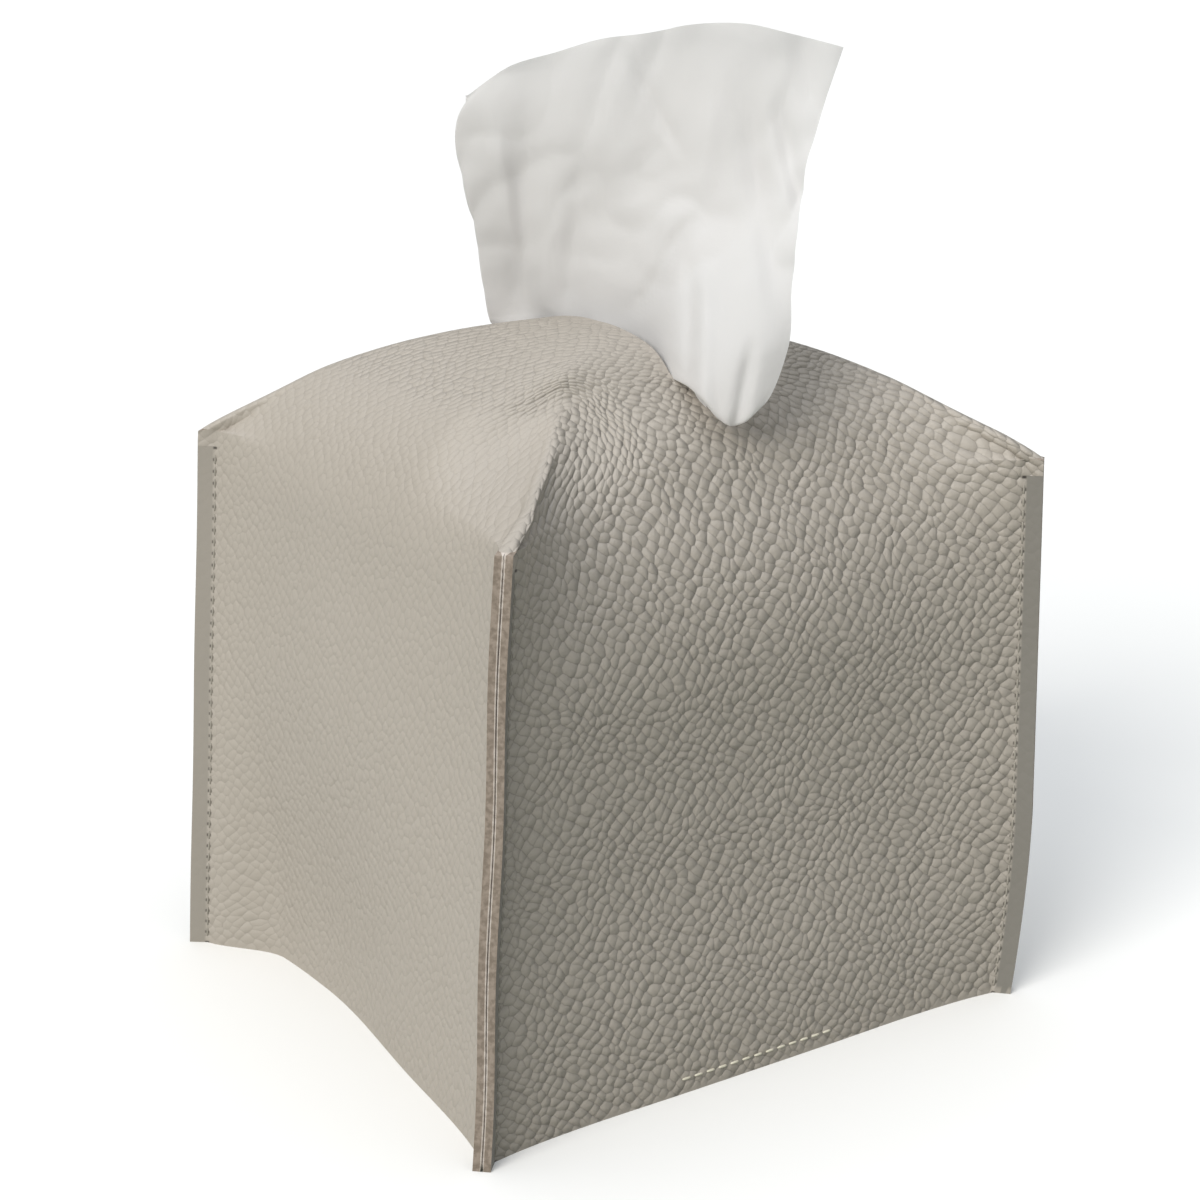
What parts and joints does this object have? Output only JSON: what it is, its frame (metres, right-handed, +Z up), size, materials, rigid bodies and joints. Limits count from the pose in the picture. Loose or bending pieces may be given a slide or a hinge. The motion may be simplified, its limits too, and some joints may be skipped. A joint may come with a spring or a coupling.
{
  "type": "tissue box cover",
  "caption": "Soft square leather cover for a cube tissue carton, with raw-edged corner seams, a vaulted crown with a slot, a belt that closes the base, and a tissue to pull.",
  "frame": {"origin": "on the table under the middle of the cover", "axes": "+Z up, the front panel with the belt's stitches faces -Y"},
  "size_m": [0.1448, 0.1348, 0.2145],
  "materials": {
    "leather": "pebble-grained, satin, warm light grey, with raw taupe edges",
    "seam_thread": "grey sewing thread, sunk in the grain",
    "belt_thread": "cream sewing thread",
    "hook_tape": "moulded hooks on a woven tape",
    "loop_tape": "brushed loops on a woven tape",
    "carton_board": "plain white carton board",
    "tissue_paper": "soft white tissue, slightly translucent"
  },
  "bodies": {
    "cover": {"leather_cover": "leather", "seam_thread_front_left": "seam_thread", "seam_thread_front_right": "seam_thread", "seam_thread_back_right": "seam_thread", "seam_thread_back_left": "seam_thread", "front_belt_end": "leather", "back_tab_end": "leather", "front_belt_thread": "belt_thread", "back_tab_thread": "belt_thread", "tissue_carton": "carton_board", "tissue_stack": "tissue_paper"},
    "belt": {"closing_belt": "leather", "hook_pad": "hook_tape", "hook_pad_thread": "belt_thread"},
    "tab": {"closing_tab": "leather", "loop_pad": "loop_tape", "loop_pad_thread": "belt_thread"},
    "tissue": {"pulled_tissue": "tissue_paper"}
  },
  "joints": [
    {"name": "belt_open", "type": "hinge", "parent": "cover", "child": "belt", "pos_m": [0, -0.0579, 0.0013], "axis": [-1, 0, 0], "range_deg": [0, 90]},
    {"name": "tab_open", "type": "hinge", "parent": "cover", "child": "tab", "pos_m": [0, 0.0579, 0.0049], "axis": [1, 0, 0], "range_deg": [0, 90]},
    {"name": "tissue_pull", "type": "slide", "parent": "cover", "child": "tissue", "axis": [0, 0, 1], "range_m": [0, 0.07]}
  ],
  "couplings": [
    {"joint": "tab_open", "follows": "belt_open", "ratio": 1}
  ]
}
